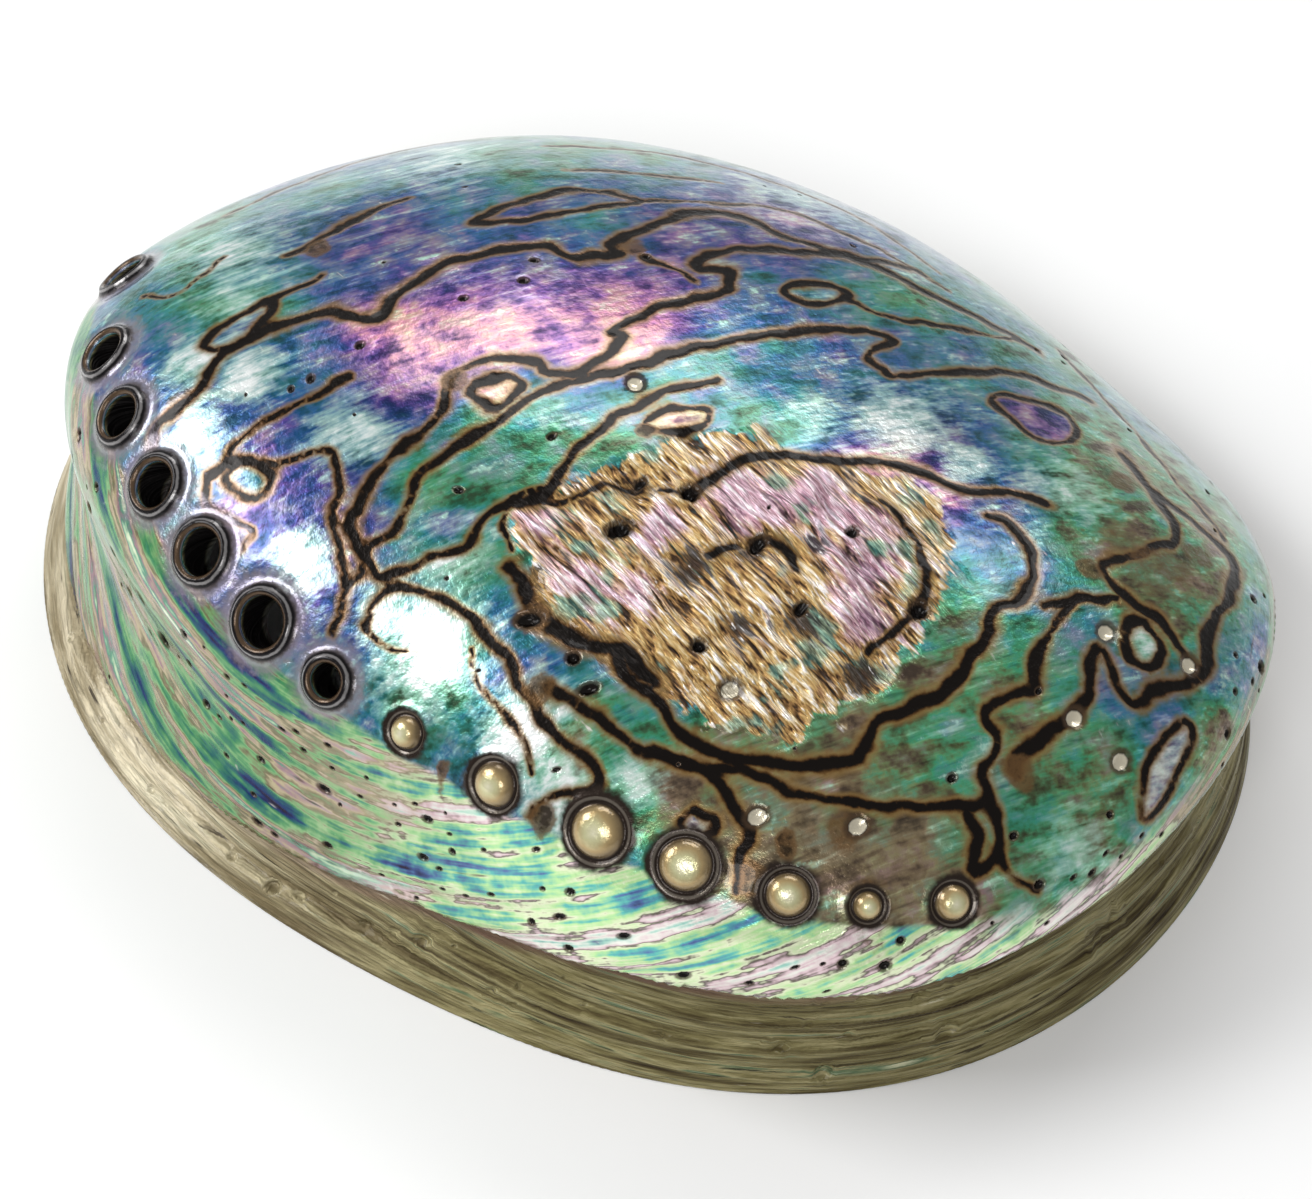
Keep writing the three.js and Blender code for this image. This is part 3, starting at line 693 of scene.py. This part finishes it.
# Each pore has a raised rim with a moat, each bead stands in a moat, and each pit has a low brim.
pore_gap, bead, pit = [np.full(len(places), FAR) for _ in range(3)]
cup = np.zeros(len(places))
for (angle, along), radius in zip(open_pores, OPEN_RADII):
    gap = np.linalg.norm(places - outer_surface(np.array(angle), np.array(along)), axis=1) - radius
    pore_gap = np.minimum(pore_gap, gap)
    lift += 0.6 * ridge(gap, 0.5, 0.6) - 0.25 * ridge(gap, 2.0, 0.8)
for (angle, along), radius in zip(beads, BEAD_RADII):
    away = np.linalg.norm(places - outer_surface(np.array(angle), np.array(along)), axis=1)
    bead = np.minimum(bead, away / radius)
    lift += np.where(away < radius, 1.15 * np.sqrt(np.clip(1 - (away / radius) ** 2, 0, 1)), 0)
    lift += 0.22 * ridge(away - radius, 0.8, 0.5)
    lift -= 0.35 * ridge(away - radius, 0.1, 0.45)
for middle, radius, depth, stretch in pits:
    offset = places - outer.lift(middle)[0]
    long_way = offset @ outer.frame_at(middle)[1]
    away = np.sqrt((offset**2).sum(1) - (1 - stretch**-2) * long_way**2) / radius
    pit = np.minimum(pit, away)
    lift += 0.12 * radius * ridge(away, 1.25, 0.25)
    lift -= radius * depth * np.cos(np.pi / 2 * np.clip(away, 0, 1)) ** 0.8
    if depth == CUP_DEPTH:
        cup[away < 1.5] = 1
lift -= 0.07 * (1 - smooth(line, 0.3, 1.4)) * (1 - band)

# Nothing is lifted at the rim, which stays on the ground.
lift *= smooth(2 - alongs, 0.0, 0.1)
places_up = places + normals * lift[:, None]
places_up[:, 2] = np.maximum(places_up[:, 2], 0)
places_up[:RIM_POINTS, 2] = 0

# ---- One closed mesh ----------


def strip(first, second):
    """Triangles between two closed rings of vertices, running the same way round."""
    after_first, after_second = np.roll(first, -1), np.roll(second, -1)
    halves = [(first, second, after_second), (first, after_second, after_first)]
    return np.vstack([np.stack(half, -1) for half in halves])


# Tubes join the two skins: one round the rim, and one through each open pore.
all_places = [places_up, inner_places]
all_faces = [faces, inner_faces[:, ::-1] + len(places)]
tube_start = len(places) + len(inner_places)
count = tube_start
outer_start, inner_start = 0, len(places)
for size in [RIM_POINTS] + [PORE_SIDES] * len(OPEN_RADII):
    from_ring = np.arange(outer_start, outer_start + size)
    to_ring = np.arange(inner_start, inner_start + size)
    start_places = places_up[from_ring]
    end_places = inner_places[to_ring - len(places)]
    previous = from_ring
    for step in range(1, TUBE_RINGS):
        across = step / TUBE_RINGS
        ring = np.arange(count, count + size)
        all_places.append(start_places * (1 - across) + end_places * across)
        all_faces.append(strip(ring, previous))
        count += size
        previous = ring
    all_faces.append(strip(to_ring, previous))
    outer_start += size
    inner_start += size

mesh_places = np.vstack(all_places)
mesh_faces = np.vstack(all_faces)
shell_mesh = bpy.data.meshes.new("shell")
shell_mesh.from_pydata(mesh_places * MM, [], mesh_faces.tolist())
shell_mesh.shade_smooth()
shell = bpy.data.objects.new("polished_shell", shell_mesh)
bpy.context.scene.collection.objects.link(shell)


def attribute(name, values):
    """Stores a number for each vertex."""
    values = np.asarray(values, np.float32)
    shell_mesh.attributes.new(name, "FLOAT", "POINT").data.foreach_set("value", values)


def outside_attribute(name, outside, beyond=0.0):
    """Stores a number for each vertex: measured on the outside, and one value for the rest."""
    values = np.full(len(mesh_places), beyond, np.float32)
    values[: len(places)] = outside
    attribute(name, values)


def flow(angle, disc):
    """Coordinates that run round the shell, so that streaks drawn in them follow its growth lines."""
    return np.stack([60 * np.cos(angle), 60 * np.sin(angle), 6 * np.hypot(disc[:, 0], disc[:, 1])], -1)


edge_length = np.linalg.norm(outer.to_disc(angles, np.ones(len(flat))), axis=1)
edge_start = 0.55 - 0.22 * bell(angles, 125, 50)
for name, values, beyond in [
    ("line", np.clip(line, 0, 8), 8), ("phase", phase, PLAIN_PHASE), ("whiteness_and_highlight", whiteness_and_highlight, 0), ("stain", stain, 0),
    ("rosy", rosy, 0), ("dark", dark, 0), ("scar", scar, 0), ("flank", flank, 0),
    ("below_edge", np.clip(length - edge_length, -3, 3), 3), ("share", band_share, 1),
    ("pore_gap", np.clip(pore_gap, -1, FAR), FAR), ("bead", bead, FAR), ("pit", pit, FAR), ("cup", cup, 0),
    ("edge", smooth(alongs, edge_start, edge_start + 0.42), 0), ("compass", degrees, 0),
]:
    outside_attribute(name, values, beyond)
for name, size, layer in [("soft", 11, 10), ("clouds", 6, 14)]:
    octaves = [0.5**octave * grain(mesh_places, size / 2**octave, layer + octave) for octave in range(3)]
    attribute(name, 1.6 * sum(octaves))
vertex = np.arange(len(mesh_places))
attribute("inside", (vertex >= len(places)) & (vertex < tube_start))
# The pores' walls, which are painted dark as shade inside the holes.
attribute("tube", vertex >= tube_start + (TUBE_RINGS - 1) * RIM_POINTS)
inner_angles = inner.from_disc(inner_flat)[0]
flows = np.zeros((len(mesh_places), 3), np.float32)
flows[:tube_start] = np.vstack([flow(angles, flat), flow(inner_angles, inner_flat)])
shell_mesh.attributes.new("flow", "FLOAT_VECTOR", "POINT").data.foreach_set("vector", flows.ravel())

# ---- Materials ----------

# Where a colour Mix node has its share, its two colours and its result.
MIX_SHARE, MIX_BELOW, MIX_ABOVE, MIX_RESULT = 0, 6, 7, 2


class Field:
    """A value that varies over a surface: a node's output times a weight, plus a base.

    Sums and products of fields and numbers add the nodes that work them out.
    """

    def __init__(self, paint, socket, weight=1.0, base=0.0):
        self.paint, self.socket, self.weight, self.base = paint, socket, weight, base

    def output(self):
        """The socket that carries the whole value."""
        if (self.weight, self.base) != (1, 0):
            self.socket = self.paint.math("MULTIPLY_ADD", self.socket, self.weight, self.base).socket
            self.weight, self.base = 1.0, 0.0
        return self.socket

    def __add__(self, other):
        if isinstance(other, Field):
            return self.paint.math("MULTIPLY_ADD", other.socket, other.weight, self) + other.base
        return Field(self.paint, self.socket, self.weight, self.base + other)

    def __mul__(self, other):
        if isinstance(other, Field):
            return self.paint.math("MULTIPLY", self, other)
        return Field(self.paint, self.socket, self.weight * other, self.base * other)

    def __sub__(self, other):
        return self + -1 * other

    def __rsub__(self, other):
        return -1 * self + other

    def __abs__(self):
        return self.paint.math("ABSOLUTE", self)

    __radd__ = __add__
    __rmul__ = __mul__


class Paint:
    """A material, with short ways to write its nodes. What a node gives comes back as a Field."""

    def __init__(self, name):
        self.material = bpy.data.materials.new(name)
        self.material.use_nodes = True
        self.tree = self.material.node_tree
        self.surface = self.tree.nodes["Principled BSDF"].inputs

    def put(self, socket, value):
        if isinstance(value, Field):
            value = value.output()
        if isinstance(value, bpy.types.NodeSocket):
            self.tree.links.new(value, socket)
        else:
            socket.default_value = (*value, 1) if socket.type == "RGBA" else value

    def node(self, kind, inputs, output=0, **settings):
        made = self.tree.nodes.new("ShaderNode" + kind)
        for name, value in settings.items():
            setattr(made, name, value)
        for name, value in inputs.items():
            self.put(made.inputs[name], value)
        return Field(self, made.outputs[output])

    def math(self, operation, *values):
        return self.node("Math", dict(enumerate(values)), operation=operation)

    def attribute(self, name, output="Fac"):
        return self.node("Attribute", {}, output, attribute_name=name)

    def place(self, scale, turn=0.0, source=None):
        """The place in millimetres, turned about the vertical axis and then scaled by axis."""
        if source is None:
            source = self.node("TexCoord", {}, "Object")
            scale = [axis / MM for axis in scale]
        turned = self.node("Mapping", {"Vector": source, "Rotation": (0, 0, -turn)})
        return self.node("Mapping", {"Vector": turned, "Scale": scale})

    def noise(self, place, scale, detail=3.0, roughness=0.55, distortion=0.0):
        """Noise from about -1 to 1."""
        inputs = {"Vector": place, "Scale": scale, "Detail": detail, "Roughness": roughness,
                  "Distortion": distortion}
        return self.math("MULTIPLY_ADD", self.node("TexNoise", inputs), 4.0, -2.0)


def mask(field, low, high):
    """Rises smoothly from 0 at low to 1 at high, or falls if low is the larger."""
    inputs = {"Value": field, "From Min": min(low, high), "From Max": max(low, high),
              "To Min": float(low > high), "To Max": float(low < high)}
    return field.paint.node("MapRange", inputs, interpolation_type="SMOOTHSTEP")


def ramp(field, stops):
    """A colour read from stops, each a position, red, green and blue in hundredths."""
    colour = field.paint.node("ValToRGB", {"Fac": field})
    elements = colour.socket.node.color_ramp.elements
    while len(elements) < len(stops):
        elements.new(0.5)
    for element, stop in zip(elements, stops):
        element.position, *parts = [value / 100 for value in stop]
        element.color = (*parts, 1)
    return colour


def deepen(colour, gamma):
    return colour.paint.node("Gamma", {"Color": colour, "Gamma": gamma})


def over(colour, *coats, mode="MIX"):
    """A colour with coats over it, each given as its share and its own colour."""
    for share, coat in coats:
        inputs = {MIX_SHARE: share, MIX_BELOW: colour, MIX_ABOVE: coat}
        colour = share.paint.node("Mix", inputs, MIX_RESULT, data_type="RGBA", blend_type=mode)
    return colour


paint = Paint("polished_nacre")
mark = {name: paint.attribute(name) for name in (
    "line", "phase", "whiteness_and_highlight", "stain", "rosy", "dark", "scar", "flank", "share", "pore_gap", "bead", "pit",
    "cup", "edge", "compass", "soft", "clouds", "inside", "tube")}
below_edge = mask(paint.attribute("below_edge"), -0.05, 0.3)

plain = paint.place((1, 1, 1))
patchy = paint.noise(plain, 0.26, 3.0, 0.62)
fine = paint.noise(plain, 1.1, 3.0, 0.65)
streak = paint.noise(paint.place((0.06, 0.3, 0.3), math.radians(42)), 1.6, 3.0, 0.6)
glints = paint.noise(paint.place((0.12, 0.8, 0.6), math.radians(48)), 1.7, 2.0, 0.6)
flowing = paint.place((0.03, 0.03, 0.05), source=paint.attribute("flow", "Vector"))
growth_streak = paint.noise(flowing, 0.95, 3.0, 0.62)
growth_thin = paint.noise(flowing, 3.4, 2.0, 0.6)
fibrewise = paint.place((0.13, 1.0, 0.6), math.radians(-27))
fibres = paint.noise(fibrewise, 0.75, 2.0, 0.6, 0.9)
fibres_thin = paint.noise(fibrewise, 1.9, 2.0, 0.65)
laminated = paint.place((0.022, 0.022, 0.5))
laminae = paint.noise(laminated, 1.6, 3.0, 0.65)
laminae_thin = paint.noise(laminated, 5.5, 2.0, 0.6)

# Colour stops, each a position, red, green and blue in hundredths.
NACRE = [
    (0, 42, 34, 23), (7, 32, 38, 20), (15, 14, 52, 32), (26, 4, 44, 46), (37, 5, 27, 52), (48, 22, 15, 46),
    (57, 46, 24, 52), (66, 76, 42, 54), (76, 84, 62, 50), (88, 82, 80, 56), (100, 42, 42, 26),
]
SHEEN = [(0, 10, 16, 34), (25, 42, 24, 36), (45, 36, 42, 20), (60, 12, 34, 30), (80, 50, 42, 30),
         (100, 34, 20, 44)]
SIDES = [
    (0, 6, 4, 10), (13, 5, 10, 28), (24, 3, 26, 24), (35, 12, 40, 20), (44, 34, 55, 30), (51, 30, 27, 17),
    (60, 60, 54, 38), (70, 44, 30, 34), (78, 16, 42, 30), (88, 70, 78, 60), (100, 94, 94, 88),
]
BRIGHT_FLANK = [
    (0, 4, 3, 5), (14, 8, 16, 40), (26, 10, 52, 46), (38, 50, 82, 36), (50, 82, 88, 60), (56, 12, 10, 8),
    (64, 78, 58, 62), (76, 92, 92, 84), (88, 34, 66, 56), (100, 10, 14, 30),
]
SCAR_FIBRES = [(0, 1, 0.6, 0.6), (24, 5, 2.4, 1), (36, 26, 13, 3.5), (48, 46, 27, 8), (60, 58, 40, 16),
               (72, 80, 66, 42), (86, 95, 90, 84)]
ROSY_FIBRES = [(0, 5, 2, 4), (30, 36, 16, 26), (55, 66, 44, 60), (80, 92, 84, 94)]
PEARL = [(0, 80, 76, 55), (35, 56, 54, 30), (65, 42, 30, 13), (100, 12, 8, 4)]
BAND = [(0, 2, 1.4, 0.9), (20, 7, 5, 2.4), (36, 17, 14, 6.5), (50, 28, 25, 12), (62, 42, 38, 22),
        (74, 17, 24, 14), (86, 72, 70, 52)]
INSIDE = [(0, 20, 52, 42), (25, 45, 66, 62), (45, 70, 74, 70), (60, 74, 62, 64), (78, 50, 50, 68),
          (100, 22, 50, 60)]


def nacre():
    """Clouds of colour crossed by a slower sheen, with shadows, glints, and whitish patches that are partly
    the nacre's own paleness and partly painted highlights.
    """
    hue = (mark["phase"] + 0.07 * mark["soft"] + 0.10 * patchy + 0.08 * streak + 0.03 * fine
           + 0.05 * mark["clouds"] + 0.20 * (growth_streak * mark["edge"]))
    sheen = ramp(0.5 + 0.3 * mark["clouds"] + 0.16 * streak + 0.1 * fine, SHEEN)
    sheen_share = 0.05 + 0.38 * mask(patchy + 0.4 * glints + 0.3 * streak, -0.5, 1.0)
    colour = over(deepen(ramp(hue, NACRE), 1.8), (sheen_share, sheen))
    colour = over(
        colour,
        (mask(patchy + 0.3 * fine + 0.8 * streak, 0.2, -1.2), (0.25, 0.25, 0.30)),
        (0.65 * mask(glints, -0.1, -1.1), (0.25, 0.25, 0.32)), mode="MULTIPLY")
    colour = over(colour, (0.8 * mask(glints + 0.5 * streak, 0.2, 1.2), colour), mode="SCREEN")
    pale_and_highlight = mark["whiteness_and_highlight"] + 0.2 * patchy + 0.26 * streak + 0.2 * glints + 0.08 * fine
    sparkle = mask(0.6 * streak + 0.5 * fine + 0.5 * patchy, 0.45, 1.1)
    silver_streak = mask(growth_streak, 0.3, 1.1) * mask(mark["edge"], 0.1, 0.9)
    # The first two coats, pale green and near white, paint highlights over the paler patches of nacre.
    return over(
        colour,
        (0.5 * mask(pale_and_highlight, 0.08, 0.6), (0.50, 0.85, 0.68)),
        (mask(pale_and_highlight, 0.42, 0.95), (0.90, 0.93, 0.92)),
        (0.7 * sparkle, (0.50, 0.85, 0.68)),
        (0.7 * silver_streak, (0.66, 0.78, 0.58)))


def growth_sides(colour):
    """Growth streaks round the shell's sides, brightest on the flank outside the pores, with whitish streaks
    low down painted as highlights.
    """
    heading = mark["compass"] + 8.0 * patchy
    bright = ramp(0.5 + 0.4 * growth_streak + 0.2 * growth_thin + 0.14 * patchy, BRIGHT_FLANK)
    streaks = deepen(ramp(0.5 + 0.46 * growth_streak + 0.13 * growth_thin + 0.1 * patchy, SIDES), 1.6)
    streaks = over(streaks, (mask(heading, 245, 290) * mask(heading, 352, 335), bright))
    near_side = 0.75 * mask(mark["edge"], 0.25, 0.95)
    share = paint.math("MAXIMUM", mark["flank"], near_side) + 0.14 * patchy + 0.12 * growth_thin
    low_down = mask(mark["edge"], 0.05, 0.5)
    return over(
        colour,
        (mask(share, 0.2, 0.75), streaks),
        (mask(growth_thin, 0.7, 1.05) * low_down * 0.85, (0.07, 0.045, 0.02)),
        # Thin whitish streaks low on the sides are painted highlights along the growth lines.
        (mask(growth_thin, -0.8, -1.2) * low_down * 0.8, (0.86, 0.90, 0.80)))


def scar_fibres(colour):
    """The scar: brown and gold fibres, rosy and greenish in parts, with dark threads and whitish threads
    painted as highlights.
    """
    green = over((0.03, 0.10, 0.08), (mask(fibres_thin, -0.6, 0.7), (0.30, 0.55, 0.42)))
    pinkish = mask(mark["rosy"] + 0.3 * mark["clouds"] + 0.6 * fibres, 0.3, 1.0)
    greenish = mask(mark["clouds"] + 0.4 * fibres, -0.5, -1.0)
    darkened = mask(mark["dark"] + 0.35 * fibres_thin + 0.5 * fibres, 0.5, 0.9)
    # Whitish threads painted as highlights along the fibres.
    pale_and_highlight = mask(fibres_thin + 0.4 * fine + 0.3 * mark["clouds"], 0.55, 1.0)
    threads = over(ramp(0.5 + 0.42 * fibres + 0.34 * fibres_thin, SCAR_FIBRES),
                   (0.8 * pinkish, ramp(0.5 + 0.4 * fibres_thin, ROSY_FIBRES)),
                   (0.75 * greenish, green),
                   (0.92 * darkened, (0.014, 0.010, 0.016)),
                   (0.85 * pale_and_highlight, (0.95, 0.90, 0.88)))
    share = mark["scar"] + 0.3 * fibres + 0.15 * fibres_thin + 0.3 * patchy
    return over(colour, (mask(share, 0.35, 0.65), threads))


def contour_lines(colour):
    """Dark lines, black-brown at the core with a golden halo, and soft brown stains."""
    near = mark["line"] + 0.14 * fine + 0.16 * patchy
    stained = mark["stain"] + 0.2 * fine + 0.3 * patchy
    return over(
        colour,
        (0.75 * mask(near, 2.7, 1.2), (0.26, 0.15, 0.035)),
        (0.95 * mask(near, 1.6, 0.85), (0.10, 0.040, 0.006)),
        (mask(near, 1.2, 0.7), (0.004, 0.002, 0.001)),
        (0.85 * mask(stained, 0.2, 0.75), (0.13, 0.065, 0.020)),
        (0.85 * mask(stained, 0.75, 1.15), (0.012, 0.007, 0.003)))


def beads_and_holes(colour):
    """Pearly beads in dark moats, pores with dark throats and a thin grey ring painted as a highlight on
    their rims, pits and cream-coloured cups.
    """
    bead, pit = mark["bead"], mark["pit"]
    pore = mark["pore_gap"] + 0.05 * fine + 0.09 * patchy
    return over(
        colour,
        (mask(bead + 0.06 * fine + 0.2 * patchy, 1.75, 1.35), (0.022, 0.014, 0.010)),
        (mask(abs(bead - 1.22), 0.08, 0.02), (0.12, 0.10, 0.08)),
        (mask(bead, 1.04, 0.92), ramp(bead + 0.12 * patchy, PEARL)),
        (0.75 * mask(pore + 0.5 * fine + 0.8 * patchy, 3.8, 1.8), (0.26, 0.22, 0.27)),
        (0.85 * mask(pore + 0.2 * fine, 1.9, 1.3), (0.07, 0.055, 0.05)),
        (mask(pore, 1.5, 1.15), (0.006, 0.005, 0.006)),
        # A thin grey ring on each pore's dark collar is a painted highlight.
        (mask(abs(pore - 0.85), 0.2, 0.05), (0.20, 0.19, 0.19)),
        (mask(pore, 0.45, 0.2), (0.09, 0.055, 0.03)),
        (0.8 * mask(pit, 1.5, 1.0), (0.07, 0.04, 0.02)),
        (mask(pit, 0.95, 0.7), (0.006, 0.004, 0.003)),
        (mask(pit, 0.85, 0.65) * mask(mark["cup"], 0.2, 0.8), (0.66, 0.60, 0.46)))


def layered_band(colour):
    """The laminated band below the polished edge, palest at the front left, with dark cracks and cream flecks
    painted as glints.
    """
    heading = mark["compass"] + 10.0 * laminae
    pale_layers = over((0.30, 0.25, 0.15), (mask(laminae, -0.6, 0.9), (0.74, 0.68, 0.54)))
    layers = over(
        ramp(0.5 + 0.34 * laminae + 0.14 * laminae_thin, BAND),
        (0.8 * mask(mark["share"] + 0.03 * laminae, 0.26, 0.16), (0.24, 0.15, 0.115)),
        (mask(heading, 120, 170) * mask(heading, 285, 225), pale_layers))
    return over(
        colour,
        (below_edge, deepen(layers, 1.35)),
        (mask(laminae_thin, 0.55, 0.9) * below_edge * 0.85, (0.022, 0.014, 0.008)),
        # Sparse cream flecks painted as glints on the layers.
        (mask(laminae_thin, -0.8, -1.2) * below_edge * 0.8, (0.70, 0.64, 0.48)),
        (mask(laminae, 0.95, 1.25) * below_edge * 0.9, (0.010, 0.007, 0.005)))


def inside_nacre(colour):
    """The inside is silvery with soft pink and green clouds, and the pores' walls are painted dark as the
    shade inside the holes.
    """
    hue = 0.5 + 0.14 * mark["soft"] + 0.06 * patchy + 0.08 * growth_streak
    return over(colour, (mark["inside"], ramp(hue, INSIDE)), (mark["tube"], (0.006, 0.005, 0.005)))


colour = nacre()
for part in (growth_sides, scar_fibres, contour_lines, beads_and_holes, layered_band, inside_nacre):
    colour = part(colour)

# Bright nacre is glossy, and the scar and the band are rougher.
bright = mask(paint.node("RGBToBW", {"Color": colour}), 0.0, 0.2)
rough_places = paint.math("MAXIMUM", below_edge, 0.5 * mark["scar"])
relief = (0.03 * fine + 0.3 * (fibres_thin * mark["scar"]) + 0.35 * (fibres * mark["scar"])
          + 0.4 * (laminae * below_edge) + 0.16 * (laminae_thin * below_edge)
          + 0.08 * (growth_thin * mark["edge"]))
for name, value in {
    "Base Color": colour,
    "Metallic": 0.45,
    "Roughness": 0.24 + 0.3 * rough_places + 0.03 * fine,
    "Specular IOR Level": 0.15 + 0.35 * bright,
    "Coat Weight": (0.2 + 0.5 * bright) * (1 - 0.7 * below_edge),
    "Coat Roughness": 0.06,
    "Coat IOR": 1.45,
    "Normal": paint.node("Bump", {"Strength": 0.8, "Distance": MM, "Height": relief}),
}.items():
    paint.put(paint.surface[name], value)
shell_mesh.materials.append(paint.material)

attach(shell, "root")
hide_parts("shell")

# ---- The floor, the lights and the camera ----------

FLOOR_HEIGHT = -0.0001
bpy.ops.mesh.primitive_plane_add(size=6, location=(0, 0, FLOOR_HEIGHT))
floor = bpy.context.object
floor.name = "floor"
floor_paint = Paint("pale_floor")
floor_tone = mask(floor_paint.noise(floor_paint.place((1, 1, 1)), 0.02, 2.0), -2, 2)
floor_colour = over((0.90, 0.90, 0.90), (floor_tone, (0.93, 0.93, 0.93)))
floor_paint.put(floor_paint.surface["Base Color"], floor_colour)
floor_paint.put(floor_paint.surface["Roughness"], 0.9)
floor.data.materials.append(floor_paint.material)

world = bpy.data.worlds.new("studio")
bpy.context.scene.world = world
world.use_nodes = True
world.node_tree.nodes["Background"].inputs["Color"].default_value = (1, 1, 1, 1)
world.node_tree.nodes["Background"].inputs["Strength"].default_value = 0.42

LIT_PLACE = Vector((0, 0, 0.02))


def soft_box(name, position, size, power):
    light = bpy.data.lights.new(name, "AREA")
    light.shape = "RECTANGLE"
    light.size, light.size_y = size
    light.energy = power
    lamp = bpy.data.objects.new(name, light)
    bpy.context.scene.collection.objects.link(lamp)
    lamp.location = position
    lamp.rotation_euler = (LIT_PLACE - Vector(position)).to_track_quat("-Z", "Y").to_euler()


soft_box("left", (-0.9, -0.25, 0.75), (0.7, 0.5), 9.5)
soft_box("back", (-0.15, 0.9, 0.9), (0.9, 0.4), 5)
soft_box("front", (0.2, -0.9, 0.8), (0.5, 0.35), 4)

# The camera looks down from the front right, a little off the shell's middle.
CAMERA_TURN, CAMERA_RISE = math.radians(24), math.radians(50)
CAMERA_AWAY, CAMERA_RIGHT, CAMERA_UP, LENS, SENSOR = 600, 3.70, 1.97, 138.3, 36
level = math.cos(CAMERA_RISE)
back = Vector((math.sin(CAMERA_TURN) * level, -math.cos(CAMERA_TURN) * level, math.sin(CAMERA_RISE)))
right = Vector((math.cos(CAMERA_TURN), math.sin(CAMERA_TURN), 0))
up = back.cross(right)
view = bpy.data.cameras.new("view")
view.lens = LENS
view.sensor_width = SENSOR
camera = bpy.data.objects.new("view", view)
bpy.context.scene.collection.objects.link(camera)
aim = back * CAMERA_AWAY + right * CAMERA_RIGHT + up * CAMERA_UP + Vector(ROW_SHIFT)
camera.location = aim * MM
camera.rotation_euler = (-back).to_track_quat("-Z", "Y").to_euler()
bpy.context.scene.camera = camera
bpy.context.scene.view_settings.view_transform = "Standard"
